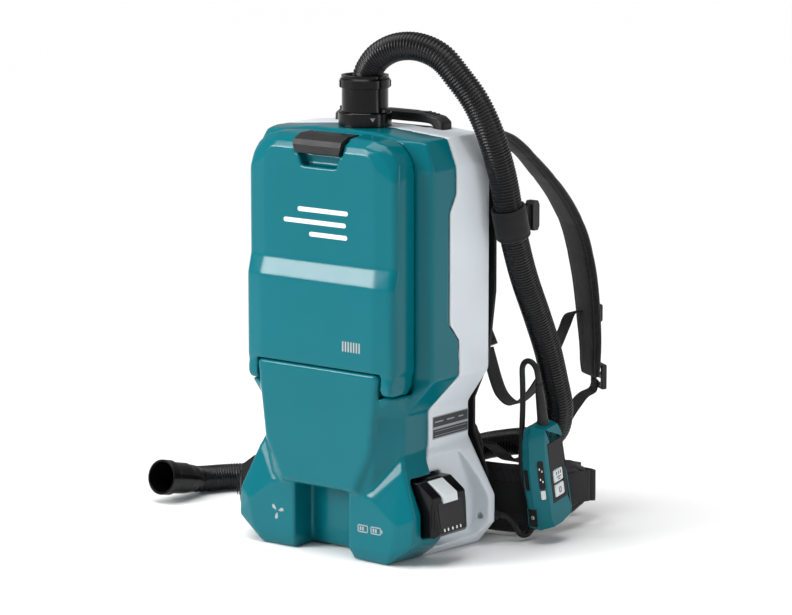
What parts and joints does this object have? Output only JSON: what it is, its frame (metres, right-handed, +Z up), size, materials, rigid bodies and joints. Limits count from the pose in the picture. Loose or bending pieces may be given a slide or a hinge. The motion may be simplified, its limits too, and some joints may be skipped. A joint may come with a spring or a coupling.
{
  "type": "backpack vacuum cleaner",
  "caption": "Backpack vacuum cleaner: hard body with hinged dust cover, side battery bays, ribbed hose, wired control box and padded harness.",
  "frame": {"origin": "on the underside of the body, on its middle plane, below the middle of the dust chamber", "axes": "+Z up as the machine stands, -Y out of the body's front, +Y towards the wearer's side, +X to the side with the hose and control box"},
  "size_m": [0.5282, 0.4374, 0.6057],
  "materials": {
    "teal_shell": "glossy injection-moulded plastic with a fine orange-peel",
    "grey_shell": "light grey satin moulded plastic",
    "gloss_black_plastic": "satin-gloss black moulded plastic",
    "satin_black_plastic": "fine-textured black moulded plastic",
    "hose_plastic": "glossy black ribbed hose",
    "light_button": "off-white moulded buttons",
    "rubber_seal": "matt black rubber",
    "cable_rubber": "smooth black cable sheath",
    "mesh_padding": "black spacer mesh over foam, with bound edges",
    "harness_fabric": "black woven fabric",
    "webbing": "black woven webbing",
    "bag_paper": "fleece dust bag",
    "filter_media": "white pleated filter medium",
    "steel": "plain steel",
    "fan_metal": "cast and machined alloy",
    "circuit_board": "green circuit board",
    "contact_copper": "copper-coloured contacts"
  },
  "bodies": {
    "root": {"front_housing": "teal_shell", "rear_housing": "grey_shell", "hinge_pin_right": "steel", "hinge_pin_left": "steel", "chamber_gasket": "rubber_seal", "inlet_port": "gloss_black_plastic", "hose": "hose_plastic", "hose_cuff": "gloss_black_plastic", "hose_band": "harness_fabric", "hose_band_clip": "satin_black_plastic", "dust_bag": "bag_paper", "bag_holder": "satin_black_plastic", "filter_frame": "satin_black_plastic", "hepa_filter": "filter_media", "fan_cover": "satin_black_plastic", "motor_can": "steel", "motor_mount": "rubber_seal", "control_board": "circuit_board", "battery_terminal_right": "contact_copper", "battery_terminal_left": "contact_copper", "carry_handle": "satin_black_plastic", "back_plate": "satin_black_plastic", "back_pad": "mesh_padding", "shoulder_strap_right": "mesh_padding", "shoulder_strap_left": "mesh_padding", "strap_buckle_right": "satin_black_plastic", "strap_buckle_left": "satin_black_plastic", "chest_slider_right": "satin_black_plastic", "chest_slider_left": "satin_black_plastic", "lower_webbing_right": "webbing", "lower_webbing_left": "webbing", "chest_webbing_right": "webbing", "chest_webbing_left": "webbing", "chest_buckle": "satin_black_plastic", "hip_wing_right": "mesh_padding", "hip_wing_left": "mesh_padding", "hip_webbing_right": "webbing", "hip_webbing_left": "webbing", "hip_buckle_right": "satin_black_plastic", "hip_buckle_left": "satin_black_plastic", "control_case_back": "teal_shell", "control_case_front": "teal_shell", "control_panel": "gloss_black_plastic", "belt_hook": "satin_black_plastic", "strain_relief": "cable_rubber", "control_cable": "cable_rubber", "cable_grommet": "cable_rubber"},
    "cover": {"dust_cover": "teal_shell"},
    "latch": {"cover_latch": "satin_black_plastic"},
    "coupling": {"hose_coupling": "gloss_black_plastic"},
    "fan": {"fan_rotor": "fan_metal"},
    "right_battery": {"battery_right": "gloss_black_plastic"},
    "left_battery": {"battery_left": "gloss_black_plastic"},
    "right_release": {"battery_release_right": "light_button"},
    "left_release": {"battery_release_left": "light_button"},
    "mode_key": {"mode_button": "light_button"},
    "power_key": {"power_button": "light_button"},
    "gauge_key": {"gauge_button": "light_button"}
  },
  "joints": [
    {"name": "cover_hinge", "type": "hinge", "parent": "root", "child": "cover", "pos_m": [0, -0.072, 0.206], "axis": [1, 0, 0], "range_deg": [0, 95]},
    {"name": "latch_hinge", "type": "hinge", "parent": "cover", "child": "latch", "pos_m": [0, -0.047, 0.486], "axis": [-1, 0, 0], "range_deg": [0, 35], "stiffness_Nm_per_rad": 0.3},
    {"name": "coupling_turn", "type": "hinge", "parent": "root", "child": "coupling", "pos_m": [0, 0.0083, 0.52], "axis": [0, 0, 1], "range_deg": [0, 30]},
    {"name": "fan_spin", "type": "hinge", "parent": "root", "child": "fan", "pos_m": [0, -0.002, 0.19], "axis": [0, 0, 1], "continuous": true},
    {"name": "right_battery_slide", "type": "slide", "parent": "root", "child": "right_battery", "axis": [1, 0, 0], "range_m": [0, 0.12]},
    {"name": "left_battery_slide", "type": "slide", "parent": "root", "child": "left_battery", "axis": [-1, 0, 0], "range_m": [0, 0.12]},
    {"name": "right_release_press", "type": "slide", "parent": "right_battery", "child": "right_release", "axis": [-0.5878, 0, -0.809], "range_m": [0, 0.002], "stiffness_N_per_m": 600},
    {"name": "left_release_press", "type": "slide", "parent": "left_battery", "child": "left_release", "axis": [0.5878, 0, -0.809], "range_m": [0, 0.002], "stiffness_N_per_m": 600},
    {"name": "mode_key_press", "type": "slide", "parent": "root", "child": "mode_key", "axis": [-1, 0, 0], "range_m": [0, 0.001], "stiffness_N_per_m": 600},
    {"name": "power_key_press", "type": "slide", "parent": "root", "child": "power_key", "axis": [-1, 0, 0], "range_m": [0, 0.001], "stiffness_N_per_m": 600},
    {"name": "gauge_key_press", "type": "slide", "parent": "root", "child": "gauge_key", "axis": [-0.678, 0.7215, 0.1402], "range_m": [0, 0.001], "stiffness_N_per_m": 600}
  ]
}
